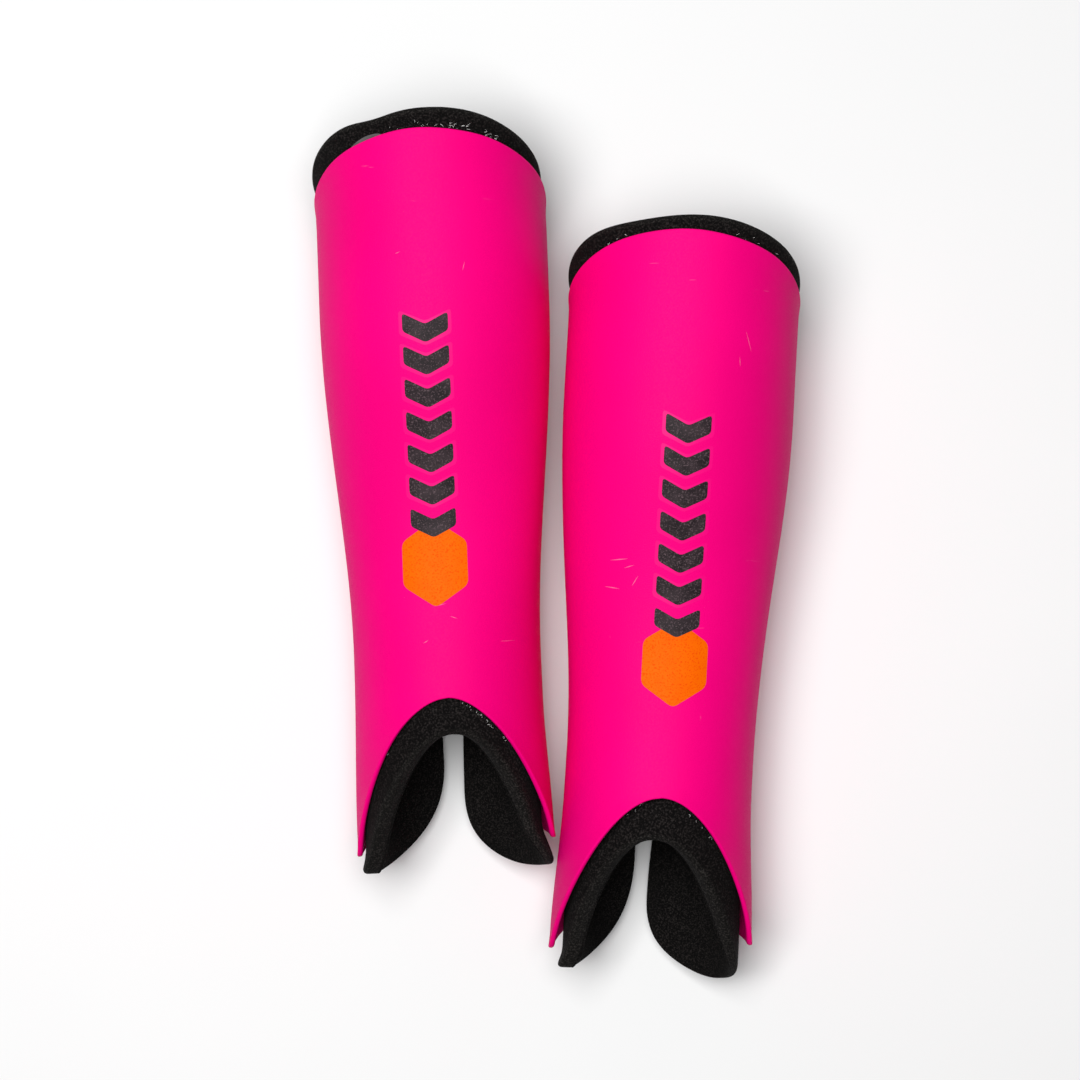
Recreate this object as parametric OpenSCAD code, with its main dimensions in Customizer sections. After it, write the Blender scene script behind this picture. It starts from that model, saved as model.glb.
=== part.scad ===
// A pair of field-sport shin guards, lying on their backs side by side.
// Each guard is a moulded shell around a removable foam liner, held by hook-and-loop tape.
// X runs across the pair, Y runs from the ankle ends to the knee ends and Z is up, out of the shins.

/* [Shell] */
// Length of the shell, from its ankle tips to the top of its front
shell_len = 279; // [240:1:350]
// Wall of the moulded shell
shell_t = 2.2; // [1.6:0.1:3.2]
// Width across the ankle tips
ankle_w = 75.5; // [74:0.5:100]
// Width at the narrow part above the ankle
waist_w = 74; // [58:0.5:78]
// Width at the calf
calf_w = 90.5; // [80:0.5:112]
// Width at the top edge
top_w = 90.5; // [78:0.5:112]
// Distance of the narrow part from the ankle tips
waist_at = 77; // [55:1:90]
// Distance of the widest part from the ankle tips
calf_at = 214; // [180:1:235]

/* [Side profile] */
// Depth from the back to the front over the instep
instep_d = 78; // [72:1:88]
// Depth at the shallowest part of the shin
shin_d = 71; // [62:0.5:82]
// Depth at the calf
calf_d = 86; // [76:0.5:104]
// Depth at the top edge
top_d = 88; // [78:0.5:108]
// Distance of the shallowest part from the ankle tips
shin_at = 115; // [95:1:150]
// Height of the widest line over the back, at the narrow part
waist_mid = 35; // [31:0.5:40]
// Height of the widest line over the back, at the calf
calf_mid = 41; // [36:0.5:46]
// How far the back rises at the narrow part
waist_lift = 1.2; // [0:0.1:3]
// How far the back sinks at the calf, so that the wings lie level
calf_sink = 1; // [0:0.1:2]

/* [Outline] */
// Height of the ankle arch over the tips
arch_h = 61; // [45:0.5:80]
// Roundness of the top of the arch
arch_round = 62; // [8:1:80]
// Angle round the shin where the arch reaches the tips
arch_angle = 83; // [70:1:100]
// Drop of the top edge from the front to the sides
top_drop = 24; // [0:1:34]
// Gap between the liner's back edges at the ankle
gap_ankle = 12.5; // [4:0.5:20]
// Gap between the liner's back edges at the top
gap_top = 26; // [8:1:34]
// Rounding of the lower back corners, round the leg
lobe_w = 60; // [14:1:70]
// Rounding of the lower back corners, along the leg
lobe_h = 36; // [16:1:56]
// Rounding of the upper back corners
corner_r = 16; // [6:1:24]

/* [Liner] */
// Thickness of the foam
foam_t = 6; // [4:0.5:9]
// Thickness of the fabric on the leg side of the foam
lining_t = 0.7; // [0.4:0.1:1.2]
// Air between the shell and the liner at the sides of the narrow part
side_gap = 0.5; // [0.4:0.1:2]
// Air between the shell and the liner at the sides of the calf
calf_gap = 2; // [1.6:0.1:4]
// How far the liner stands out of the top of the shell
show_top = 8.5; // [4:0.5:16]
// How far the liner stands out of the arch
show_arch = 14; // [4:0.2:18]
// How far the liner hangs below the ankle tips
show_tip = 9.5; // [2:0.5:16]
// How far the liner's back edges stand out of the shell
show_back = 6; // [2:0.5:12]
// How far the top rim of the liner springs outwards over the shell
rim_spring = 2.6; // [0:0.1:3.4]

// How far the right liner has settled towards the ankle
settle_right = 2.5; // [0:0.1:4]

/* [Hook and loop] */
// Thickness of one tape, hook or loop
tape_t = 0.6; // [0.4:0.1:0.7]
// Air between the facing tapes at the front
tape_gap = 1.3; // [1.2:0.1:2.4]
// Thickness of the adhesive under each tape
glue_t = 0.2; // [0.2:0.05:0.3]
// Width of each patch, round the leg
tape_w = 18; // [12:1:20]
// Length of each patch, along the leg
tape_len = 34; // [20:1:50]
// Angle of the patches from the front
tape_angle = 24; // [18:1:28]
// Distance of the upper patches from the top of the shell
tape_top = 20; // [18:1:60]
// How far the upper loop patches sit below the upper hook patches
loop_drop = 8; // [8:1:16]
// Distance of the lower patches from the ankle tips
tape_low = 148; // [140:1:160]

/* [Pair] */
// Lean of the left guard
lean_left = 2.1; // [0:0.1:6]
// Lean of the right guard
lean_right = -3; // [-6:0.1:0]
// How far the left guard lies beyond the right one
stagger = 38.5; // [0:0.5:80]
// Smallest gap between the two guards
pair_gap = 3; // [2:0.5:30]

/* [Hidden] */
SIDES = ["left", "right"];
PATCHES = ["upper_left", "upper_right", "lower_left", "lower_right"];

shell_cols = 40;
shell_rows = 28;
liner_cols = 30;
liner_rows = 20;
patch_cols = 6;
patch_rows = 4;
// Share by which the columns crowd towards the back edges
crowding = 0.35;
// Distance over which two edges that meet are rounded into each other
edge_blend = 4;
// Height over which the liner's rim springs outwards
spring_h = 8;
patch_r = 5;
lining_d = foam_t + lining_t;
front_gap = 2 * (glue_t + tape_t) + tape_gap;
// Air under the liner, which clears the rise of the shell's back
back_gap = 0.6;

shell_pink = [0.95, 0.0, 0.45];
foam_black = [0.07, 0.07, 0.07];
lining_black = [0.12, 0.11, 0.11];
hook_grey = [0.55, 0.54, 0.53];
loop_black = [0.18, 0.18, 0.18];

// ---- Profiles along the leg ----

function ease(t) = (1 - cos(180 * max(0, min(1, t)))) / 2;
function mix(a, b, t) = a + (b - a) * t;

// Value at y of an eased line through the values vs at the places ys
function along(y, ys, vs, i = 0) =
    i >= len(ys) - 2 || y < ys[i + 1]
        ? mix(vs[i], vs[i + 1], ease((y - ys[i]) / (ys[i + 1] - ys[i])))
        : along(y, ys, vs, i + 1);

function gap_half(y) = mix(gap_ankle, gap_top, ease(y / shell_len)) / 2;

// A section is [half width, height of the front, height of the widest line, height of the back]
function shell_section(y) = [
    along(y, [0, waist_at, calf_at, shell_len], [ankle_w, waist_w, calf_w, top_w]) / 2,
    along(y, [0, shin_at, calf_at, shell_len], [instep_d, shin_d, calf_d, top_d]),
    along(y, [waist_at, calf_at], [waist_mid, calf_mid]),
    along(y, [0, waist_at, calf_at], [0, waist_lift, -calf_sink])
];

// The liner is bent from flat sheet, so it runs straight below the narrow part
// and never widens towards the ankle: that is what lets it slide out of the top.
function liner_section(y) = [
    along(
        y, [waist_at, calf_at, shell_len],
        [
            waist_w / 2 - shell_t - side_gap,
            calf_w / 2 - shell_t - calf_gap,
            top_w / 2 - shell_t - calf_gap
        ]
    ),
    along(y, [shin_at, calf_at, shell_len], [shin_d, calf_d, top_d]) - shell_t - front_gap,
    along(y, [waist_at, calf_at], [waist_mid, calf_mid]),
    shell_t + waist_lift + back_gap
];

// Point of a section at angle phi from the front, d inside it
function oval(section, phi, y, d) =
    let (
        half = section[0],
        rise = abs(phi) < 90 ? section[1] - section[2] : section[2] - section[3],
        across = sin(phi) / half,
        up = cos(phi) / rise,
        size = norm([across, up])
    )
    [half * sin(phi) - d * across / size, y, section[2] + rise * cos(phi) - d * up / size];

// Angle at which a section ends, x away from the middle of the back
function end_angle(section, x) = 180 - asin(x / section[0]);
function shell_end(y) = end_angle(shell_section(y), gap_half(y) + show_back);
function liner_end(y) = end_angle(liner_section(y), gap_half(y));

// ---- Outlines, as heights at a share s of the way from the front to a back edge ----

function smooth_max(a, b) = (a + b + sqrt(pow(a - b, 2) + pow(edge_blend, 2))) / 2;

// Height of a rounded corner, at a share q of its width
function corner(q, h) = h * (1 - sqrt(1 - pow(max(0, min(1, q)), 2)));

// Share of the corner, width w round a section of the given half width, that s has passed
function corner_share(s, end, half, w) =
    let (wide = w / (half * PI / 180)) (abs(s) * end - end + wide) / wide;

// The arch falls from its apex to the tips as a rounded V
function arch(phi, apex) =
    let (
        leg = (arch_h + arch_round) / arch_angle,
        slope = sqrt(pow(leg, 2) - pow(arch_round / arch_angle, 2))
    )
    apex + arch_round - sqrt(pow(arch_round, 2) + pow(slope * phi, 2));

function bottom_edge(s, end, half, apex, tip) =
    smooth_max(arch(s * end, apex), tip + corner(corner_share(s, end, half, lobe_w), lobe_h));

function top_edge(s, end, half, top) =
    top - top_drop * (1 - cos(s * end)) - corner(corner_share(s, end, half, corner_r), corner_r);

function shell_bottom(s) = bottom_edge(s, shell_end(0), waist_w / 2, arch_h, 0);
function shell_top(s) = top_edge(s, shell_end(calf_at), calf_w / 2, shell_len);
function liner_bottom(s) =
    bottom_edge(s, liner_end(0), waist_w / 2, arch_h - show_arch, -show_tip);
function liner_top(s) =
    top_edge(s, liner_end(calf_at), calf_w / 2, shell_len + show_top);

// ---- Faces ----

// Columns run from one back edge to the other, closer together near the edges
function column(i, n) = let (t = 2 * i / n - 1) t + crowding * sin(180 * t) / PI;

function shell_point(s, y, d) = oval(shell_section(y), s * shell_end(y), y, d);

// Point of the liner at angle phi from the front. Above the shell, it springs outwards.
function liner_at(phi, y, d) =
    let (
        rim = shell_len - top_drop * (1 - cos(phi)),
        spring = rim_spring * ease((y - rim) / spring_h)
    )
    oval(liner_section(y), phi, y, d - spring);

function liner_point(s, y, d) = liner_at(s * liner_end(y), y, d);

function shell_face(d) = [
    for (i = [0 : shell_cols])
        let (s = column(i, shell_cols))
        [for (j = [0 : shell_rows])
            shell_point(s, mix(shell_bottom(s), shell_top(s), j / shell_rows), d)]
];

function liner_face(d) = [
    for (i = [0 : liner_cols])
        let (s = column(i, liner_cols))
        [for (j = [0 : liner_rows])
            liner_point(s, mix(liner_bottom(s), liner_top(s), j / liner_rows), d)]
];

// A patch is a rectangle with rounded corners, laid on a section of the shell or the liner
function patch_face(k, on_liner, d) =
    let (
        side = k % 2 == 0 ? -1 : 1,
        upper = shell_len - tape_top - (on_liner ? loop_drop : 0),
        middle = k < 2 ? upper : tape_low,
        turn = tape_w / (waist_w / 2 * PI / 180) / 2
    )
    [
        for (i = [0 : patch_cols])
            let (
                t = column(i, patch_cols),
                phi = side * tape_angle + turn * t,
                q = (abs(t) * tape_w / 2 - tape_w / 2 + patch_r) / patch_r,
                reach = tape_len / 2 - corner(q, patch_r)
            )
            [for (j = [0 : patch_rows])
                let (y = middle + mix(-reach, reach, j / patch_rows))
                on_liner ? liner_at(phi, y, d) : oval(shell_section(y), phi, y, d)]
    ];

// Closed solid between an outer and an inner face, each a list of columns of points
module between(outer, inner) {
    cols = len(outer) - 1;
    rows = len(outer[0]) - 1;
    points = concat([for (c = outer) each c], [for (c = inner) each c]);
    function id(k, i, j) = (k * (cols + 1) + i) * (rows + 1) + j;
    function pair(a, b, c, d) = [[a, b, c], [a, c, d]];
    polyhedron(
        points = points,
        faces = concat(
            [for (i = [0 : cols - 1], j = [0 : rows - 1])
                each pair(id(0, i, j), id(0, i, j + 1), id(0, i + 1, j + 1), id(0, i + 1, j))],
            [for (i = [0 : cols - 1], j = [0 : rows - 1])
                each pair(id(1, i, j), id(1, i + 1, j), id(1, i + 1, j + 1), id(1, i, j + 1))],
            [for (i = [0 : cols - 1])
                each pair(id(0, i, 0), id(0, i + 1, 0), id(1, i + 1, 0), id(1, i, 0))],
            [for (i = [0 : cols - 1])
                each pair(id(0, i + 1, rows), id(0, i, rows), id(1, i, rows), id(1, i + 1, rows))],
            [for (j = [0 : rows - 1])
                each pair(id(0, 0, j + 1), id(0, 0, j), id(1, 0, j), id(1, 0, j + 1))],
            [for (j = [0 : rows - 1])
                each pair(
                    id(0, cols, j), id(0, cols, j + 1), id(1, cols, j + 1), id(1, cols, j)
                )]
        ),
        convexity = 8
    );
}

// ---- Sub-parts, each in the frame of its own guard ----

module shell() color(shell_pink) between(shell_face(0), shell_face(shell_t));

module foam() color(foam_black) between(liner_face(0), liner_face(foam_t));

module lining() color(lining_black) between(liner_face(foam_t), liner_face(lining_d));

// Hook tape, stuck to the inside of the shell
module hook(k) {
    d = shell_t + glue_t;
    color(hook_grey) between(patch_face(k, false, d), patch_face(k, false, d + tape_t));
}

// Loop tape, stuck to the outside of the liner
module loop(k)
    color(loop_black)
        between(patch_face(k, true, -glue_t - tape_t), patch_face(k, true, -glue_t));

// ---- The pair ----

// Across distance from the middle of a guard to its side, at a height y along its own axis
function reach(y, angle) = shell_section(y)[0] / cos(angle) - max(0, y) * tan(abs(angle));

spacing = pair_gap + max([
    for (y = [-show_tip : 4 : shell_len])
        reach(y + stagger, lean_left) + reach(y, lean_right)
]);

function lean(side) = side == "left" ? lean_left : lean_right;
function home(side) = (side == "left" ? [-spacing, stagger, 0] : [spacing, -stagger, 0]) / 2;
function settle(side) = side == "left" ? 0 : settle_right;

// Place in the pair of a point p of one guard
function in_pair(p, side) =
    let (c = cos(lean(side)), s = sin(lean(side)))
    home(side) + [c * p[0] - s * p[1], s * p[0] + c * p[1], p[2]];

// The origin lies under the middle of the pair, on the surface that the guards lie on
corners = [
    for (side = SIDES)
        each concat(
            [for (col = shell_face(0)) for (p = col) in_pair(p, side)],
            [for (col = liner_face(0)) for (p = col) in_pair(p - [0, settle(side), 0], side)]
        )
];
low = [for (k = [0 : 2]) min([for (p = corners) p[k]])];
high = [for (k = [0 : 2]) max([for (p = corners) p[k]])];
origin = [(low[0] + high[0]) / 2, (low[1] + high[1]) / 2, low[2]];

module placed(side)
    translate(home(side) - origin)
        rotate([0, 0, lean(side)])
            children();

module settled(side)
    placed(side)
        translate([0, -settle(side), 0])
            children();

for (side = SIDES) {
    placed(side) shell();
    settled(side) foam();
    settled(side) lining();
    for (k = [0 : 3]) {
        placed(side) hook(k);
        settled(side) loop(k);
    }
}
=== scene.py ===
import math

import bpy
import numpy as np
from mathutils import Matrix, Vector
from mathutils.geometry import delaunay_2d_cdt


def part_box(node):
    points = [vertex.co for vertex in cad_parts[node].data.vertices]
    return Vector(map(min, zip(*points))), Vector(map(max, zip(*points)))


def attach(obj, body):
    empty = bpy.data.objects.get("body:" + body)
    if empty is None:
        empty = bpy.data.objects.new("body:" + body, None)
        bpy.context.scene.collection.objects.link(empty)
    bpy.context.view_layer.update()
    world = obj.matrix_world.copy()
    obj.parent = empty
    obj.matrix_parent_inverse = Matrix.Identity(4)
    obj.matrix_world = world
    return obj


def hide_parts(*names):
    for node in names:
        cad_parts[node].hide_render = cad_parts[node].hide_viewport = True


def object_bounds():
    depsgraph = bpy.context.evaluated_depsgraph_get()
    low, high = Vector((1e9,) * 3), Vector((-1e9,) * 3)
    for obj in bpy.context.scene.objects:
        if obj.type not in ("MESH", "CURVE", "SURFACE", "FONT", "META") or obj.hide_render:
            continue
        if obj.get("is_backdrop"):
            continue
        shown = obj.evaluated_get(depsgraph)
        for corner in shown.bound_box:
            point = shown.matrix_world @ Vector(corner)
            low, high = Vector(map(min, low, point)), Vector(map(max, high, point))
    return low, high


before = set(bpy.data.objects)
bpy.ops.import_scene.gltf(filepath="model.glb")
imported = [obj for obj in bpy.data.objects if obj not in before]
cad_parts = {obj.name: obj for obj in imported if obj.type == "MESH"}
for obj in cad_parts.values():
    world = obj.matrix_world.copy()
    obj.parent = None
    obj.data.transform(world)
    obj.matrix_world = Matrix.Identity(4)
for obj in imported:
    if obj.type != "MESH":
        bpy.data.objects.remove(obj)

cad_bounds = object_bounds()

# A pair of field hockey shin guards. Sizes are in millimetres, in the frame of one guard: x across
# the shin, y from the ankle tips to the knee, z out of the front of the shin. Only the floor, the
# lights and the camera are in metres.
MM = 0.001
SIDES = ("left", "right")

# ---- Sizes shared with the CAD model ----

SHELL_LEN = 279
SHELL_T = 2.2
ANKLE_W = 75.5
WAIST_W = 74
CALF_W = 90.5
TOP_W = 90.5
WAIST_AT = 77
CALF_AT = 214
INSTEP_D = 78
SHIN_D = 71
CALF_D = 86
TOP_D = 88
SHIN_AT = 115
WAIST_MID = 35
CALF_MID = 41
WAIST_LIFT = 1.2
CALF_SINK = 1
ARCH_H = 61
ARCH_ROUND = 62
ARCH_ANGLE = 83
TOP_DROP = 24
GAP_ANKLE = 12.5
GAP_TOP = 26
LOBE_W = 60
LOBE_H = 36
CORNER_R = 16
FOAM_T = 6
LINING_T = 0.7
FRONT_GAP = 2.9
SIDE_GAP = 0.5
CALF_GAP = 2
SHOW_TOP = 8.5
SHOW_ARCH = 14
SHOW_TIP = 9.5
SHOW_BACK = 6
RIM_SPRING = 2.6
SPRING_H = 8
EDGE_BLEND = 4
BACK_GAP = 0.6
LEAN = {"left": 2.1, "right": -3}
SETTLE = {"left": 0, "right": 2.5}

# ---- Sizes of the looks alone ----

# Half the way round a guard, from the front line to a back edge
GIRTH = 109
# Rounding of the edges of the shell, the outer and inner edges of the foam and the edges of the
# lining
SHELL_EDGE_R = 0.9
FOAM_EDGE_R = 2.2
FOAM_INNER_R = 0.3
LINING_OUTER_R = 0.25
LINING_INNER_R = 0.3
# The shell's moulded lip: how far it turns outwards, and over what distance
LIP_OUT = 0.6
LIP_W = 4.0
# How much lower than in the CAD model the ankle tips of each shell end, left and right. Below 0
# they end higher.
TIP_LOWER = {"left": (3.4, -1.5), "right": (4.0, -1.1)}
# The soft liner presses outwards against the flare of the shell, in the left guard more than in
# the right one, and stays this far clear of it
PRESS = {"left": 0.95, "right": 0.35}
PRESS_GAP = 0.6
# How far the liner's arch sits to one side, as a share of the way to a back edge
ARCH_SHIFT = {"left": 0.024, "right": -0.013}
# The slit between the liner's back edges at the ankle: how far it sits to one side, how much
# narrower than in the CAD model the soft edges leave it, the height where that starts and the
# length over which it grows
SLIT_SHIFT = {"left": 0.5, "right": -5.2}
SLIT_CLOSED = {"left": 4.0, "right": 6.0}
SLIT_FROM = 130
SLIT_H = 110
# How the liner's tips turn outwards near the shell's tips, left and right: how far, the height
# where it starts and the length over which it grows
FLICK = {"left": ((2.4, 2, 15), (4.6, 10, 18)), "right": ((3.6, 0, 13), (0.6, 40, 40))}
# How much shorter than in the CAD model the liner's tips are, left and right. Below 0 they are
# longer.
TIP_SHORT = {"left": (0, -0.4), "right": (1.2, -3.4)}
# The share of its thickness that the liner loses at its right tip, the height where that starts
# and the length over which it grows
THINNED = {"left": 0.42, "right": 0.55}
THINNED_FROM = 46
THINNED_H = 52
# How far the tips of each shell flare outwards beyond the CAD model, left and right, and the
# height where that starts
TIP_FLARE = {"left": (0.3, 2.2), "right": (2.0, 2.2)}
TIP_FLARE_H = 60
# How far the rim of the liner bulges beside the knee, left and right, and over what height
BULGE = {"left": (3.4, 0.9), "right": (3.6, 2.4)}
BULGE_H = 11
# How much higher the liner stands at its shoulders, left and right
SHOULDER = {"left": (3.4, 0.8), "right": (3.2, 2.0)}
# The lower back corners of each liner, left and right: height, fullness and blend with the arch
LOBES = {"left": ((44, 2.35, 4), (33, 2.8, 10)), "right": ((44, 2.35, 4), (33, 2.8, 20))}


def ease(t):
    return (1 - np.cos(math.pi * np.clip(t, 0, 1))) / 2


def along(y, places, values):
    """Eased line through the values at the places along the guard."""
    result = np.full(np.shape(y), float(values[0]))
    for i in range(len(places) - 1):
        span = (y - places[i]) / (places[i + 1] - places[i])
        step = values[i] + (values[i + 1] - values[i]) * ease(span)
        result = np.where(y >= places[i], step, result)
    return result


def gap_half(y):
    return (GAP_ANKLE + (GAP_TOP - GAP_ANKLE) * ease(y / SHELL_LEN)) / 2


# A section is its half width and the heights of its front, widest line and back.


def shell_section(y):
    return (
        along(y, (0, WAIST_AT, CALF_AT, SHELL_LEN), (ANKLE_W, WAIST_W, CALF_W, TOP_W)) / 2,
        along(y, (0, SHIN_AT, CALF_AT, SHELL_LEN), (INSTEP_D, SHIN_D, CALF_D, TOP_D)),
        along(y, (WAIST_AT, CALF_AT), (WAIST_MID, CALF_MID)),
        along(y, (0, WAIST_AT, CALF_AT), (0, WAIST_LIFT, -CALF_SINK)),
    )


def liner_section(y, press=0.0):
    """The liner's section. Press is the share by which it follows the shell's flare."""
    inside = WAIST_W / 2 - SHELL_T - SIDE_GAP
    half = along(
        y,
        (WAIST_AT, CALF_AT, SHELL_LEN),
        (inside, CALF_W / 2 - SHELL_T - CALF_GAP, TOP_W / 2 - SHELL_T - CALF_GAP),
    )
    front = along(y, (SHIN_AT, CALF_AT, SHELL_LEN), (SHIN_D, CALF_D, TOP_D))
    front = front - SHELL_T - FRONT_GAP
    shell_half, shell_front, mid, _ = shell_section(y)
    flare = np.maximum(shell_half - SHELL_T - PRESS_GAP - half, 0) * (y < WAIST_AT)
    rise = np.maximum(shell_front - SHELL_T - PRESS_GAP - front, 0)
    rise = rise * ease((SHIN_AT - y) / (SHIN_AT - ARCH_H))
    return half + press * flare, front + press * rise, mid, SHELL_T + WAIST_LIFT + BACK_GAP


def oval(section, phi, y, d):
    """Point of a section at the angle phi from the front, d inside it."""
    half, front, mid, back = section
    rise = np.where(np.abs(phi) < math.pi / 2, front - mid, mid - back)
    across = np.sin(phi) / half
    up = np.cos(phi) / rise
    size = np.hypot(across, up)
    x = half * np.sin(phi) - d * across / size
    z = mid + rise * np.cos(phi) - d * up / size
    return np.stack(np.broadcast_arrays(x, y, z), -1)


def bell(phi, middle, width):
    """1 where the angle phi is the middle, fading over the width, which are both in degrees."""
    return np.exp(-(((phi - math.radians(middle)) / math.radians(width)) ** 2))


def end_angle(section, x):
    return math.pi - np.arcsin(x / section[0])


def shell_end(y):
    return end_angle(shell_section(y), gap_half(y) + SHOW_BACK)


def liner_end(y, press=0.0):
    return end_angle(liner_section(y, press), gap_half(y))


# ---- Outlines: heights at the share s of the way from the front line to a back edge ----


def smooth_max(a, b, blend):
    return (a + b + np.sqrt((a - b) ** 2 + blend**2)) / 2


def corner(s, end, half, width, height, fullness=2.0):
    """Height of a rounded corner that ends at a back edge."""
    wide = width / half
    q = np.clip((np.abs(s) * end - end + wide) / wide, 0, 1)
    return height * (1 - (1 - q**fullness) ** (1 / fullness))


def arch(phi, apex):
    leg = (ARCH_H + ARCH_ROUND) / math.radians(ARCH_ANGLE)
    slope = math.sqrt(leg**2 - (ARCH_ROUND / math.radians(ARCH_ANGLE)) ** 2)
    return apex + ARCH_ROUND - np.hypot(ARCH_ROUND, slope * phi)


def bottom_edge(s, end, apex, tip, height, fullness, blend):
    lobe = corner(s, end, WAIST_W / 2, LOBE_W, height, fullness)
    at_tip = bell(np.abs(s * end), ARCH_ANGLE + 12, 34)
    return smooth_max(arch(s * end, apex), tip + lobe, EDGE_BLEND + (blend - EDGE_BLEND) * at_tip)


def top_edge(s, end, top):
    drop = TOP_DROP * (1 - np.cos(s * end))
    return top - drop - corner(s, end, CALF_W / 2, CORNER_R, CORNER_R)


def shell_bottom(s):
    return bottom_edge(s, shell_end(0.0), ARCH_H, 0, LOBE_H, 2.0, EDGE_BLEND)


def shell_top(s):
    return top_edge(s, shell_end(float(CALF_AT)), SHELL_LEN)


def liner_bottom(s, side):
    apex = ARCH_H - SHOW_ARCH
    left, right = (
        bottom_edge(s, liner_end(0.0), apex, short - SHOW_TIP, *lobe)
        for short, lobe in zip(TIP_SHORT[side], LOBES[side])
    )
    return np.where(s < 0, left, right)


def liner_top(s):
    return top_edge(s, liner_end(float(CALF_AT)), SHELL_LEN + SHOW_TOP)


# ---- Uneven surfaces ----


def ripple(u, y, seed, wavelength, count=7):
    """Smooth, repeatable unevenness between about -1 and 1."""
    random = np.random.default_rng(seed)
    total = np.zeros(np.broadcast(u, y).shape)
    for _ in range(count):
        angle = random.uniform(0, 2 * math.pi)
        length = wavelength * random.uniform(0.6, 1.7)
        phase = random.uniform(0, 2 * math.pi)
        step = (u * math.cos(angle) + y * math.sin(angle)) * 2 * math.pi / length
        total = total + np.sin(step + phase)
    return total / math.sqrt(count)


# ---- Closed sheets with rounded edges ----

# A distance from a sheet's edge that no rounding or lip reaches
FAR_IN = 99.0


def spaced(points, spacing):
    """The closed loop through the points, at even spacing."""
    closed = np.concatenate([points, points[:1]])
    steps = np.linalg.norm(np.diff(closed, axis=0), axis=1)
    run = np.concatenate([[0], np.cumsum(steps)])
    count = int(run[-1] / spacing)
    places = np.arange(count) * run[-1] / count
    return np.stack([np.interp(places, run, closed[:, k]) for k in (0, 1)], 1)


def wrapped_outline(bottom, top, spacing):
    """Closed loop of (u, y) round a sheet that wraps the leg, counter-clockwise."""
    s = np.sin(np.linspace(-1, 1, 1601) * math.pi / 2)
    low = np.stack([s * GIRTH, bottom(s)], 1)
    high = np.stack([s[::-1] * GIRTH, top(s[::-1])], 1)
    return spaced(np.concatenate([low, high]), spacing)


def distance_to(loop, points):
    """Distance of each point from the closed loop."""
    start = loop
    leg = np.roll(loop, -1, axis=0) - start
    length2 = (leg**2).sum(1)
    result = np.empty(len(points))
    for a in range(0, len(points), 2000):
        part = points[a : a + 2000, None, :] - start[None]
        t = np.clip((part * leg[None]).sum(2) / length2, 0, 1)
        result[a : a + 2000] = np.sqrt(((part - t[..., None] * leg[None]) ** 2).sum(2)).min(1)
    return result


def inside(loop, points):
    """Whether each point is inside the closed loop."""
    x0, y0 = loop[:, 0], loop[:, 1]
    x1, y1 = np.roll(x0, -1), np.roll(y0, -1)
    result = np.zeros(len(points), bool)
    for a in range(0, len(points), 2000):
        px = points[a : a + 2000, 0, None]
        py = points[a : a + 2000, 1, None]
        crosses = (y0 > py) != (y1 > py)
        with np.errstate(divide="ignore", invalid="ignore"):
            hit = px < (x1 - x0) * (py - y0) / (y1 - y0) + x0
        result[a : a + 2000] = (crosses & hit).sum(1) % 2 == 1
    return result


def hex_grid(low, high, step):
    rows = np.arange(low[1], high[1], step * math.sqrt(3) / 2)
    columns = np.arange(low[0], high[0], step)
    points = [
        np.stack([columns + (k % 2) * step / 2, np.full(len(columns), y)], 1)
        for k, y in enumerate(rows)
    ]
    return np.concatenate(points)


def flat_mesh(loop, rings, step):
    """Triangles that fill the loop: (points, faces, indices of the loop's points)."""
    ahead = np.roll(loop, -1, axis=0) - np.roll(loop, 1, axis=0)
    ahead = ahead / np.linalg.norm(ahead, axis=1)[:, None]
    inward = np.stack([-ahead[:, 1], ahead[:, 0]], 1)
    extra = []
    for e in rings:
        ring = loop + inward * e
        keep = inside(loop, ring) & (distance_to(loop, ring) > e * 0.97)
        extra.append(ring[keep])
    grid = hex_grid(loop.min(0), loop.max(0), step)
    grid = grid[inside(loop, grid)]
    clear = (rings[-1] if len(rings) else 0) + step * 0.55
    extra.append(grid[distance_to(loop, grid) > clear])
    points = [Vector(p) for p in np.concatenate([loop] + extra)]
    result = delaunay_2d_cdt(points, [], [list(range(len(loop)))], 1, 1e-5)
    place = {}
    for new, old in enumerate(result[3]):
        for o in old:
            place[o] = new
    flat = np.array([tuple(v) for v in result[0]])
    return flat, [tuple(f) for f in result[2]], [place[k] for k in range(len(loop))]


def add_mesh(name, points, faces, materials, face_slots=None):
    mesh = bpy.data.meshes.new(name)
    mesh.from_pydata([tuple(p) for p in points], [], faces)
    for m in materials:
        mesh.materials.append(m)
    if face_slots is not None:
        mesh.polygons.foreach_set("material_index", face_slots)
    mesh.polygons.foreach_set("use_smooth", [True] * len(mesh.polygons))
    mesh.update()
    obj = bpy.data.objects.new(name, mesh)
    bpy.context.scene.collection.objects.link(obj)
    return obj


RING_SHARES = [1 - math.cos(math.radians(a)) for a in (18, 36, 54, 72, 90)]


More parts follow.
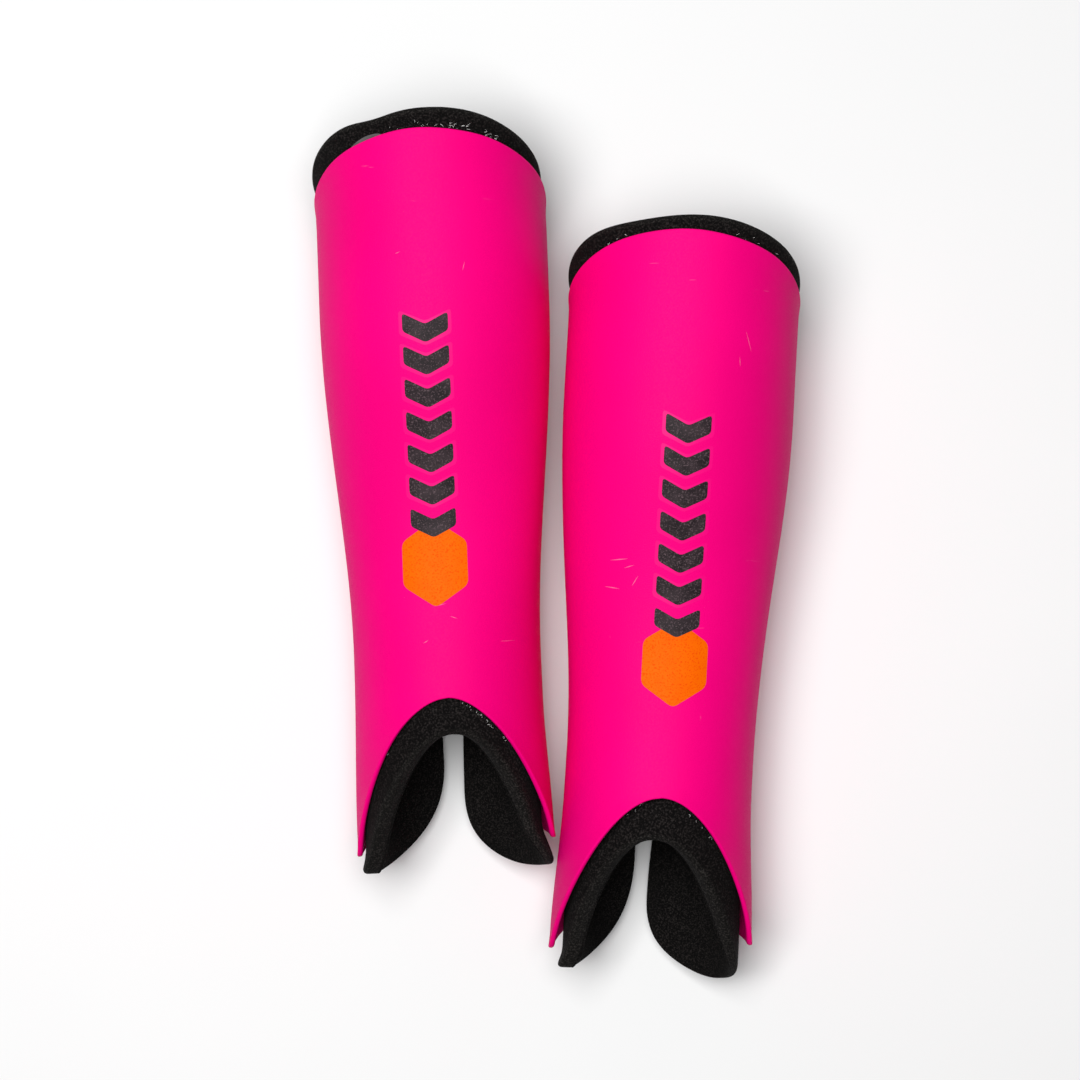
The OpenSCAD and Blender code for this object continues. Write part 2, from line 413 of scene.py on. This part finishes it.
def sheet(name, side, loop, surface, thickness, outer_r, inner_r, step, materials, depth=0.0):
    """A closed sheet between the depths depth and depth + thickness of a surface.

    surface(u, y, d, e) gives the points in the guard's frame, where e is the distance from the
    sheet's edge. The outer and inner edges are rounded. The cut edge, with its outer rounding,
    takes the second material. For the foam that is a lighter copy of the foam: partly the cut's
    open cells, partly painted light where the edge turns towards the lamps.
    """
    rings = [outer_r * share for share in RING_SHARES]
    flat, faces, rim = flat_mesh(loop, rings, step)
    e = distance_to(loop, flat)
    e[rim] = 0

    def rounding(r):
        short = np.clip(outer_r - e, 0, None) / outer_r
        return r * (1 - np.sqrt(1 - short**2))

    u, y = flat[:, 0], flat[:, 1]
    outer = surface(u, y, depth + rounding(outer_r), e)
    inner = surface(u, y, depth + thickness - rounding(inner_r), e)
    n = len(flat)
    cut = thickness - outer_r - inner_r
    levels = max(1, round(cut / 1.2)) if cut > 0.05 else 1
    points = [outer, inner]
    between = []
    for k in range(1, levels):
        d = depth + outer_r + cut * k / levels
        points.append(surface(u[rim], y[rim], np.full(len(rim), d), e[rim]))
        between.append(2 * n + (k - 1) * len(rim))
    rows = [list(rim)] + [[b + i for i in range(len(rim))] for b in between]
    rows.append([n + i for i in rim])
    all_faces = list(faces) + [tuple(n + i for i in reversed(f)) for f in faces]
    # For the foam the second material is lighter: partly the cut's open cells, partly painted light
    # on the rounded edge.
    cut_slot = min(1, len(materials) - 1)
    rounded_part = e < outer_r * 1.02
    slots = [cut_slot if rounded_part[list(f)].all() else 0 for f in faces] + [0] * len(faces)
    for upper, lower in zip(rows[:-1], rows[1:]):
        for i in range(len(rim)):
            j = (i + 1) % len(rim)
            all_faces.append((upper[i], lower[i], lower[j], upper[j]))
            slots.append(cut_slot)
    local = np.concatenate(points)
    return add_mesh(name, to_pair(local, side), all_faces, materials, slots)


# ---- The guards' places, from the frame ----


def turned(points, side):
    lean = math.radians(LEAN[side])
    x, y, z = points[:, 0], points[:, 1], points[:, 2]
    return np.stack(
        [x * math.cos(lean) - y * math.sin(lean), x * math.sin(lean) + y * math.cos(lean), z], 1
    )


def shell_place(side):
    s = np.sin(np.linspace(-1, 1, 161) * math.pi / 2)[:, None]
    share = np.linspace(0, 1, 121)[None]
    y = shell_bottom(s) * (1 - share) + shell_top(s) * share
    points = oval(shell_section(y), s * shell_end(y), y, 0.0).reshape(-1, 3)
    points = turned(points, side)
    low, high = (np.array(v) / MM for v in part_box(f"{side}_shell"))
    middle = (low + high) / 2 - (points.min(0) + points.max(0)) / 2
    return np.array([middle[0], middle[1], low[2] - points[:, 2].min()])


PLACE = {side: shell_place(side) for side in SIDES}


def to_pair(points, side):
    """Points of one guard, in millimetres, as points of the pair, in metres."""
    return (turned(points, side) + PLACE[side]) * MM


# ---- Materials ----


class Nodes:
    """Short ways to build one material's nodes."""

    def __init__(self, name):
        self.material = bpy.data.materials.new(name)
        self.material.use_nodes = True
        self.tree = self.material.node_tree
        self.shader = self.tree.nodes["Principled BSDF"]
        self.where = self.tree.nodes.new("ShaderNodeTexCoord").outputs["Object"]

    def node(self, kind, inputs=None, **settings):
        made = self.tree.nodes.new("ShaderNode" + kind)
        for key, value in settings.items():
            setattr(made, key, value)
        for key, value in (inputs or {}).items():
            self.put(made.inputs[key], value)
        return made

    def put(self, socket, value):
        if isinstance(value, bpy.types.NodeSocket):
            self.tree.links.new(value, socket)
        else:
            socket.default_value = value

    def noise(self, scale, detail=2.0, roughness=0.5, stretch=(1, 1, 1), offset=(0, 0, 0)):
        mapping = self.node("Mapping", {"Vector": self.where, "Scale": stretch, "Location": offset})
        inputs = {"Vector": mapping.outputs["Vector"], "Scale": scale, "Detail": detail}
        inputs["Roughness"] = roughness
        return self.node("TexNoise", inputs).outputs["Fac"]

    def ramp(self, fac, low, high, low_value=0.0, high_value=1.0, smooth=True):
        inputs = {
            "Value": fac,
            "From Min": low,
            "From Max": high,
            "To Min": low_value,
            "To Max": high_value,
        }
        kind = "SMOOTHSTEP" if smooth else "LINEAR"
        return self.node("MapRange", inputs, interpolation_type=kind).outputs["Result"]

    def math(self, operation, a, b=0.0):
        return self.node("Math", {0: a, 1: b}, operation=operation).outputs[0]

    def mix(self, fac, a, b):
        made = self.node("Mix", data_type="RGBA")
        self.put(made.inputs["Factor"], fac)
        for socket, value in ((made.inputs[6], a), (made.inputs[7], b)):
            self.put(socket, value if isinstance(value, bpy.types.NodeSocket) else (*value, 1))
        return made.outputs[2]

    def bump(self, height, strength, distance, normal=None):
        inputs = {"Height": height, "Strength": strength, "Distance": distance}
        if normal is not None:
            inputs["Normal"] = normal
        return self.node("Bump", inputs).outputs["Normal"]

    def set(self, **values):
        for key, value in values.items():
            name = key.replace("_", " ").title().replace("Ior", "IOR")
            socket = self.shader.inputs[name]
            if isinstance(value, tuple) and len(value) == 3 and socket.type == "RGBA":
                value = (*value, 1)
            self.put(socket, value)
        return self.material


def shell_material():
    m = Nodes("shell_plastic")
    cloud = m.noise(14, 3)
    grain = m.noise(2600, 2)
    base = m.mix(m.ramp(cloud, 0.35, 0.7), (0.84, 0.0, 0.186), (0.90, 0.0, 0.202))
    base = m.mix(m.ramp(grain, 0.35, 0.65, 0, 0.3), base, (0.74, 0.0, 0.160))
    scratch_a = m.noise(46, 4, 0.6, stretch=(1, 14, 1))
    scratch_b = m.noise(60, 4, 0.6, stretch=(9, 1.2, 1), offset=(3, 1, 0))
    where = m.ramp(m.noise(17, 1, offset=(0.2, 0.6, 0)), 0.56, 0.66)
    lines = m.math("ADD", m.ramp(scratch_a, 0.70, 0.74), m.ramp(scratch_b, 0.72, 0.76))
    lines = m.math("MULTIPLY", lines, where)
    base = m.mix(m.math("MULTIPLY", lines, 0.12), base, (0.95, 0.42, 0.60))
    rough = m.ramp(m.noise(1500, 3), 0.3, 0.7, 0.46, 0.60)
    rough = m.math("ADD", rough, m.math("MULTIPLY", lines, 0.2))
    normal = m.bump(grain, 0.6, 0.00018)
    return m.set(base_color=base, roughness=rough, normal=normal, specular_ior_level=0.035)


def foam_material(name, dark, light, grain_scale, depth):
    m = Nodes(name)
    grain = m.noise(grain_scale, 4, 0.65)
    fine = m.noise(grain_scale * 2.7, 2, 0.6, offset=(4, 2, 1))
    cloud = m.noise(45, 3)
    base = m.mix(m.ramp(grain, 0.47, 0.66), dark, light)
    base = m.mix(m.ramp(cloud, 0.3, 0.7, 0, 0.35), base, dark)
    rough = m.ramp(fine, 0.3, 0.7, 0.82, 0.98)
    normal = m.bump(grain, 0.8, depth)
    normal = m.bump(fine, 0.6, depth * 0.5, normal)
    return m.set(
        base_color=base, roughness=rough, normal=normal, specular_ior_level=0.08, sheen_weight=0.02,
        sheen_roughness=0.5, sheen_tint=(0.5, 0.47, 0.47),
    )


def ink_material(name, ink, worn, speckle, gloss):
    m = Nodes(name)
    grain = m.noise(1500, 3, 0.7)
    fade = m.noise(160, 3)
    base = m.mix(m.ramp(grain, 0.52, 0.66, 0, speckle), ink, worn)
    base = m.mix(m.ramp(fade, 0.3, 0.75, 0, 0.18), base, worn)
    rough = m.ramp(grain, 0.3, 0.7, 0.42, 0.62)
    normal = m.bump(grain, 0.5, 0.00008)
    return m.set(base_color=base, roughness=rough, normal=normal, specular_ior_level=gloss)


def hook_material():
    m = Nodes("hook_tape")
    rows = m.noise(1400, 1)
    base = m.mix(m.ramp(rows, 0.4, 0.6), (0.24, 0.235, 0.23), (0.55, 0.54, 0.53))
    normal = m.bump(rows, 0.8, 0.0003)
    return m.set(base_color=base, roughness=0.35, normal=normal)


def loop_material():
    m = Nodes("loop_tape")
    nap = m.noise(1800, 3, 0.7)
    base = m.mix(m.ramp(nap, 0.35, 0.7), (0.012, 0.012, 0.012), (0.06, 0.058, 0.058))
    normal = m.bump(nap, 0.9, 0.0004)
    return m.set(base_color=base, roughness=0.9, normal=normal, sheen_weight=0.3)


def lint_material():
    m = Nodes("lint")
    base = m.mix(m.noise(900, 1), (0.75, 0.74, 0.72), (0.95, 0.94, 0.93))
    return m.set(base_color=base, roughness=0.8)


def scuff_material():
    m = Nodes("scuff")
    base = m.mix(m.noise(500, 2), (0.88, 0.05, 0.24), (0.88, 0.17, 0.34))
    return m.set(base_color=base, roughness=0.7)


def film_material():
    m = Nodes("print_film")
    base = m.mix(m.noise(300, 2), (0.81, 0.0, 0.184), (0.86, 0.003, 0.198))
    return m.set(base_color=base, roughness=0.42, specular_ior_level=0.085)


def tab_material():
    m = Nodes("tape_backing")
    base = m.mix(m.noise(260, 3), (0.05, 0.045, 0.05), (0.16, 0.145, 0.15))
    normal = m.bump(m.noise(420, 2), 0.7, 0.0004)
    return m.set(base_color=base, roughness=0.22, normal=normal)


def floor_material():
    m = Nodes("floor")
    base = m.mix(m.noise(8, 2), (0.83, 0.83, 0.83), (0.85, 0.85, 0.85))
    return m.set(base_color=base, roughness=0.85)


SHELL = shell_material()
FOAM = foam_material("foam_face", (0.0020, 0.0017, 0.0017), (0.026, 0.022, 0.021), 1300, 0.0003)
# A lighter copy of the foam for its cut edge and the rounding of its outer face: partly the cut's
# open cells, partly painted light where that edge turns towards the lamps.
FOAM_CUT_AND_PAINTED_LIGHT = foam_material("foam_cut_and_painted_light", (0.0040, 0.0036, 0.0034), (0.036, 0.032, 0.030), 1500, 0.0003)
LINING = foam_material("lining_knit", (0.0010, 0.0009, 0.0009), (0.021, 0.018, 0.017), 1700, 0.0002)
DARK_INK = ink_material("ink_charcoal", (0.013, 0.008, 0.010), (0.13, 0.088, 0.10), 0.8, 0.10)
ORANGE_INK = ink_material("ink_orange", (0.86, 0.130, 0.0), (0.76, 0.055, 0.0), 0.9, 0.03)
FILM = film_material()
SCUFF = scuff_material()
TAB = tab_material()
HOOK = hook_material()
LOOP = loop_material()
LINT = lint_material()
FLOOR = floor_material()


# ---- The shell ----

# Spacing of the points round its outline and of the points within it
SHELL_SPACING = 1.3
SHELL_STEP = 3.0


def shell_surface(side):
    seed = 11 if side == "left" else 23

    def surface(u, y, d, e):
        s = u / GIRTH
        phi = s * shell_end(y)
        lip = LIP_OUT * np.clip(1 - e / LIP_W, 0, 1) ** 2
        flare = np.where(s < 0, *TIP_FLARE[side]) * bell(np.abs(phi), ARCH_ANGLE, 40)
        lip = lip + flare * ease((TIP_FLARE_H - y) / TIP_FLARE_H)
        uneven = 0.16 * ripple(u, y, seed, 90) * ease(e / 12)
        return oval(shell_section(y), phi, y, d - lip - uneven)

    return surface


def build_shell(side):
    seed = 5 if side == "left" else 8

    def top(s):
        return shell_top(s) + 0.35 * ripple(s * GIRTH, 0, seed, 38) * (1 - np.abs(s))

    def bottom(s):
        wave = 0.3 * ripple(s * GIRTH, 9, seed + 1, 30) * (1 - np.abs(s))
        at_tip = bell(np.abs(s) * float(shell_end(0.0)), ARCH_ANGLE, 45)
        return shell_bottom(s) + wave - at_tip * np.where(s < 0, *TIP_LOWER[side])

    loop = wrapped_outline(bottom, top, SHELL_SPACING)
    obj = sheet(
        f"{side}_moulded_shell", side, loop, shell_surface(side),
        SHELL_T, SHELL_EDGE_R, SHELL_EDGE_R, SHELL_STEP, [SHELL],
    )
    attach(obj, f"{side}_guard")
    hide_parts(f"{side}_shell")


# ---- The liner ----

# Spacing of the points round its outline and of the points within it
LINER_SPACING = 1.5
LINER_STEP = 3.2


def liner_surface(side):
    seed = 31 if side == "left" else 47
    press = PRESS[side]

    def surface(u, y, d, e):
        s = u / GIRTH
        phi = s * liner_end(y, press)
        rim = SHELL_LEN - TOP_DROP * (1 - np.cos(phi))
        spring = RIM_SPRING * ease((y - rim) / SPRING_H)
        beside = bell(np.abs(phi), 78, 36)
        bulge = np.where(s < 0, *BULGE[side])
        spring = spring + bulge * beside * ease((y - rim) / BULGE_H)
        beside = bell(np.abs(phi), ARCH_ANGLE, 26)
        flick = [amount * ease((start - y) / length) for amount, start, length in FLICK[side]]
        spring = spring + beside * np.where(s < 0, *flick)
        at_tip = bell(phi, ARCH_ANGLE + 8, 34) * ease((THINNED_FROM - y) / THINNED_H)
        d = d * (1 - THINNED[side] * at_tip)
        uneven = 0.05 * ripple(u, y, seed, 55)
        at_slit = s**4 * ease((SLIT_FROM - y) / SLIT_H)
        shift = SLIT_SHIFT[side] - np.sign(s) * SLIT_CLOSED[side] / 2
        phi = phi - shift * at_slit / (WAIST_W / 2)
        points = oval(liner_section(y, press), phi, y, d - spring - uneven)
        points[..., 1] -= SETTLE[side]
        return points

    return surface


def liner_outline(side):
    seed = 61 if side == "left" else 67

    def top(s):
        wave = 0.7 * ripple(s * GIRTH, 3, seed, 70) * (1 - s**2)
        if side == "left":
            wave = wave - 1.5 * np.exp(-(((s * GIRTH + 19) / 9) ** 2))
        phi = np.abs(s) * float(liner_end(float(CALF_AT)))
        shoulder = bell(phi, 62, 27) * np.where(s < 0, *SHOULDER[side])
        return liner_top(s) + wave + shoulder

    def bottom(s):
        wave = 0.4 * ripple(s * GIRTH, 5, seed + 1, 60) * (1 - s**2)
        return liner_bottom(s - ARCH_SHIFT[side] * (1 - s**2), side) + wave

    return wrapped_outline(bottom, top, LINER_SPACING)


def build_liner(side):
    """The foam and its lining, two sheets of one outline on the same surface."""
    surface = liner_surface(side)
    loop = liner_outline(side)
    # The foam's cut edge and the rounding of its outer face take the lighter copy of the foam,
    # partly painted light.
    foam = sheet(
        f"{side}_foam_pad", side, loop, surface,
        FOAM_T, FOAM_EDGE_R, FOAM_INNER_R, LINER_STEP, [FOAM, FOAM_CUT_AND_PAINTED_LIGHT],
    )
    lining = sheet(
        f"{side}_lining_knit", side, loop, surface,
        LINING_T, LINING_OUTER_R, LINING_INNER_R, LINER_STEP, [LINING], depth=FOAM_T,
    )
    for obj, slot in ((foam, "foam"), (lining, "lining")):
        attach(obj, f"{side}_liner")
        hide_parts(f"{side}_{slot}")
    calf = float(CALF_AT)
    width = float(liner_section(np.array(calf))[0]) * 2 * float(liner_end(calf))


# ---- Print ----


def print_piece(name, side, shapes, material, lift, spacing=0.8):
    """Flat shapes in plan, laid on the shell."""
    surface = shell_surface(side)
    all_points, all_faces = [], []
    for shape in shapes:
        loop = spaced(np.array(shape, float), spacing)
        flat, faces, _ = flat_mesh(loop, [], 2.0)
        x, y = flat[:, 0], flat[:, 1]
        phi = np.arcsin(x / shell_section(y)[0])
        u = phi / shell_end(y) * GIRTH
        points = surface(u, y, np.full(len(x), -lift), np.full(len(x), FAR_IN))
        start = sum(len(p) for p in all_points)
        all_points.append(points)
        all_faces += [tuple(start + i for i in f) for f in faces]
    obj = add_mesh(name, to_pair(np.concatenate(all_points), side), all_faces, [material])
    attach(obj, f"{side}_guard")


def rounded(points, radius, steps=5):
    """A polygon with its corners rounded."""
    points = np.array(points, float)
    result = []
    for k, here in enumerate(points):
        before = points[k - 1] - here
        after = points[(k + 1) % len(points)] - here
        a = here + before / np.linalg.norm(before) * radius
        b = here + after / np.linalg.norm(after) * radius
        for i in range(steps + 1):
            t = i / steps
            result.append((1 - t) ** 2 * a + 2 * t * (1 - t) * here + t**2 * b)
    return result


# The print sits this far towards the outer side of the pair
PRINT_OUT = 2.5
CHEVRONS = 7
CHEVRON_LOW = 130
CHEVRON_STEP = 12.4
CHEVRON_W = 17.5
CHEVRON_RISE = 4.5
CHEVRON_BAND = 7.0
# How far the film shows above, below and beside each chevron
FILM_EDGE = 1.2
FILM_SIDE = 1.3
# The hexagon's middle, and its radius across and along the guard
HEXAGON_AT = 113
HEXAGON_ACROSS = 14.5
HEXAGON_ALONG = 17
# How far each layer stands off the shell
FILM_LIFT = 0.03
HEXAGON_LIFT = 0.06
CHEVRON_LIFT = 0.10


def chevron(x, y, width, band):
    """A band bent downwards in its middle."""
    half = width / 2
    top = y + CHEVRON_RISE
    corners = [
        (x - half, top), (x - half, top - band), (x, y - band),
        (x + half, top - band), (x + half, top), (x, y),
    ]
    return rounded(corners, 1.4)


def build_print(side):
    out = -PRINT_OUT if side == "left" else PRINT_OUT
    places = [CHEVRON_LOW + CHEVRON_STEP * k for k in range(CHEVRONS)]
    marks = [chevron(out, y, CHEVRON_W, CHEVRON_BAND) for y in places]
    film_w = CHEVRON_W + 2 * FILM_SIDE
    film_band = CHEVRON_BAND + 2 * FILM_EDGE
    films = [chevron(out, y + FILM_EDGE, film_w, film_band) for y in places[1:]]
    turns = [math.radians(a) for a in (-30, 30, 90, 150, 210, 270)]
    hexagon = [
        (out + HEXAGON_ACROSS * math.cos(a), HEXAGON_AT + HEXAGON_ALONG * math.sin(a))
        for a in turns
    ]
    print_piece(f"{side}_print_film", side, films, FILM, FILM_LIFT)
    print_piece(f"{side}_print_hexagon", side, [rounded(hexagon, 2.2)], ORANGE_INK, HEXAGON_LIFT)
    print_piece(f"{side}_print_chevrons", side, marks, DARK_INK, CHEVRON_LIFT)


# ---- Wear ----


def stroke(x, y, length, angle, width):
    """A thin pointed scratch."""
    turn = math.radians(angle)
    ahead = np.array([math.cos(turn), math.sin(turn)]) * length / 2
    aside = np.array([-math.sin(turn), math.cos(turn)]) * width / 2
    middle = np.array([x, y])
    return [middle - ahead, middle - aside, middle + ahead, middle + aside]


# Scratches of each shell: x, y, length, angle, width. They stand this far off the shell.
SCRATCH_LIFT = 0.04
SCRATCHES = {
    "left": [
        (-1.0, 97, 5.0, 12, 0.30), (4.0, 92, 3.0, 160, 0.25), (-7.0, 83, 2.4, 30, 0.25),
        (13.0, 226, 4.0, 75, 0.22), (-12.0, 232, 2.2, 20, 0.22),
    ],
    "right": [
        (-21.0, 152, 7.0, 8, 0.40), (-17.0, 149.5, 4.0, 20, 0.30), (-23.0, 141, 6.0, -6, 0.35),
        (-14.5, 144, 5.0, 62, 0.28), (24.0, 238, 9.0, 108, 0.22), (21.0, 230, 4.0, 96, 0.22),
    ],
}


def fibres(name, side, body, surface, roots, material, seed):
    """Short bent fibres that lie on a surface. Roots are u, y, length, angle and radius."""
    random = np.random.default_rng(seed)
    points, faces = [], []
    steps, corners = 7, 3
    for u, y, length, angle, radius in roots:
        turn = math.radians(angle)
        bend = random.uniform(-2.2, 2.2)
        lift = random.uniform(0.1, 0.5)
        path = []
        for i in range(steps):
            t = i / (steps - 1)
            way = turn + bend * t
            step = length / (steps - 1)
            u += step * math.cos(way)
            y += step * math.sin(way)
            rise = radius + 0.05 + lift * math.sin(math.pi * t)
            place = (np.array([value]) for value in (u, y, -rise, FAR_IN))
            path.append(surface(*place)[0])
        path = np.array(path)
        ahead = np.gradient(path, axis=0)
        ahead /= np.linalg.norm(ahead, axis=1)[:, None]
        aside = np.cross(ahead, (0, 0, 1))
        aside /= np.linalg.norm(aside, axis=1)[:, None]
        over = np.cross(aside, ahead)
        start = len(points)
        for i in range(steps):
            size = radius * (1 - 0.6 * i / (steps - 1))
            for c in range(corners):
                a = 2 * math.pi * c / corners
                points.append(path[i] + size * (math.cos(a) * aside[i] + math.sin(a) * over[i]))
        for i in range(steps - 1):
            for c in range(corners):
                a = start + i * corners + c
                b = start + i * corners + (c + 1) % corners
                faces.append((a, b, b + corners, a + corners))
        faces.append(tuple(start + c for c in reversed(range(corners))))
        faces.append(tuple(start + (steps - 1) * corners + c for c in range(corners)))
    obj = add_mesh(name, to_pair(np.array(points), side), faces, [material])
    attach(obj, body)


# Where lint clings to the foam: (from u, to u, how many) over the shell's top edge and in its arch
LINT_TOP = {"left": [(2, 16, 16), (20, 27, 14), (-17, 2, 8)], "right": [(-34, -14, 5), (10, 34, 5)]}
LINT_ARCH = {"left": [(4, 26, 16), (-40, -24, 5)], "right": [(12, 26, 6), (-34, -8, 8)]}


def build_lint(side):
    random = np.random.default_rng(101 if side == "left" else 103)
    roots = []
    for low, high, count in LINT_TOP[side]:
        for _ in range(count):
            u = random.uniform(low, high)
            y = float(shell_top(u / GIRTH)) + SETTLE[side] + random.uniform(0.8, 2.6)
            length, radius = random.uniform(0.4, 1.7), random.uniform(0.05, 0.12)
            roots.append((u, y, length, random.uniform(-50, 50), radius))
    for low, high, count in LINT_ARCH[side]:
        for _ in range(count):
            u = random.uniform(low, high)
            y = float(shell_bottom(u / GIRTH)) + SETTLE[side] - random.uniform(1.2, 2.2)
            length, radius = random.uniform(0.4, 1.4), random.uniform(0.05, 0.10)
            roots.append((u, y, length, random.uniform(0, 360), radius))
    surface = liner_surface(side)
    fibres(f"{side}_lint", side, f"{side}_liner", surface, roots, LINT, 7)


def build_wear(side):
    strokes = [stroke(*values) for values in SCRATCHES[side]]
    print_piece(f"{side}_scratches", side, strokes, SCUFF, SCRATCH_LIFT, spacing=0.4)
    build_lint(side)


# The clear backing of the upper left hook patch stands out of the left shell: where it starts and
# ends round the guard, how far it shows, how far it reaches in, its depth and its thickness
TAB_FROM = -34
TAB_TO = -15
TAB_OUT = 2.5
TAB_IN = 5.0
TAB_DEPTH = 3.05
TAB_T = 0.3


def build_tab():
    side = "left"
    u = np.linspace(TAB_FROM, TAB_TO, 15)
    edge = shell_top(u / GIRTH)
    bow = np.sqrt(np.clip(1 - ((u - u.mean()) / (u[-1] - u[0]) * 2) ** 2, 0, 1))
    low = np.stack([u, edge - TAB_IN], 1)
    high = np.stack([u, edge - 1 + (TAB_OUT + 1) * bow], 1)[::-1]
    loop = spaced(np.concatenate([low, high]), 0.8)

    def surface(u, y, d, e):
        return oval(shell_section(y), u / GIRTH * shell_end(y), y, d)

    tab = sheet("left_tape_backing", side, loop, surface, TAB_T, 0.12, 0.12, 1.5, [TAB], TAB_DEPTH)
    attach(tab, "left_guard")


# ---- Build ----

for side in SIDES:
    build_shell(side)
    build_liner(side)
    build_print(side)
    build_wear(side)
build_tab()

for name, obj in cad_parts.items():
    for word, material in (("_hook_", HOOK), ("_loop_", LOOP)):
        if word in name:
            obj.data.materials.clear()
            obj.data.materials.append(material)

# ---- Floor, light and camera ----

FLOOR_SIZE = 6.0
bpy.ops.mesh.primitive_plane_add(size=FLOOR_SIZE, location=(0, 0, 0))
floor = bpy.context.object
floor.name = "floor"
floor.data.materials.append(FLOOR)
floor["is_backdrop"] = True

world = bpy.data.worlds.new("studio")
world.use_nodes = True
background = world.node_tree.nodes["Background"]
background.inputs["Color"].default_value = (1, 1, 1, 1)
background.inputs["Strength"].default_value = 0.07
bpy.context.scene.world = world
bpy.context.scene.view_settings.view_transform = "Standard"


def add_light(name, location, size, power):
    """A square light, in metres and watts, that shines on the middle of the pair."""
    data = bpy.data.lights.new(name, "AREA")
    data.shape = "SQUARE"
    data.size = size
    data.energy = power
    obj = bpy.data.objects.new(name, data)
    obj.location = location
    obj.rotation_euler = (-Vector(location)).to_track_quat("-Z", "Y").to_euler()
    bpy.context.scene.collection.objects.link(obj)


add_light("key", (-0.20, 0.12, 1.6), 1.0, 29)
add_light("strip", (-0.55, 0.10, 1.5), 0.5, 3.5)

# The camera looks straight down. Its view is this wide at the floor.
CAMERA_X = -0.0068
CAMERA_Y = 0.0040
CAMERA_HEIGHT = 1.4
FRAME_WIDTH = 0.4374
camera_data = bpy.data.cameras.new("camera")
camera = bpy.data.objects.new("camera", camera_data)
bpy.context.scene.collection.objects.link(camera)
camera.location = (CAMERA_X, CAMERA_Y, CAMERA_HEIGHT)
camera_data.angle = 2 * math.atan(FRAME_WIDTH / 2 / CAMERA_HEIGHT)
bpy.context.scene.camera = camera

boxes = {"cad": cad_bounds, "visual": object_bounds()}
{name: [[float(x) for x in end] for end in box] for name, box in boxes.items()}
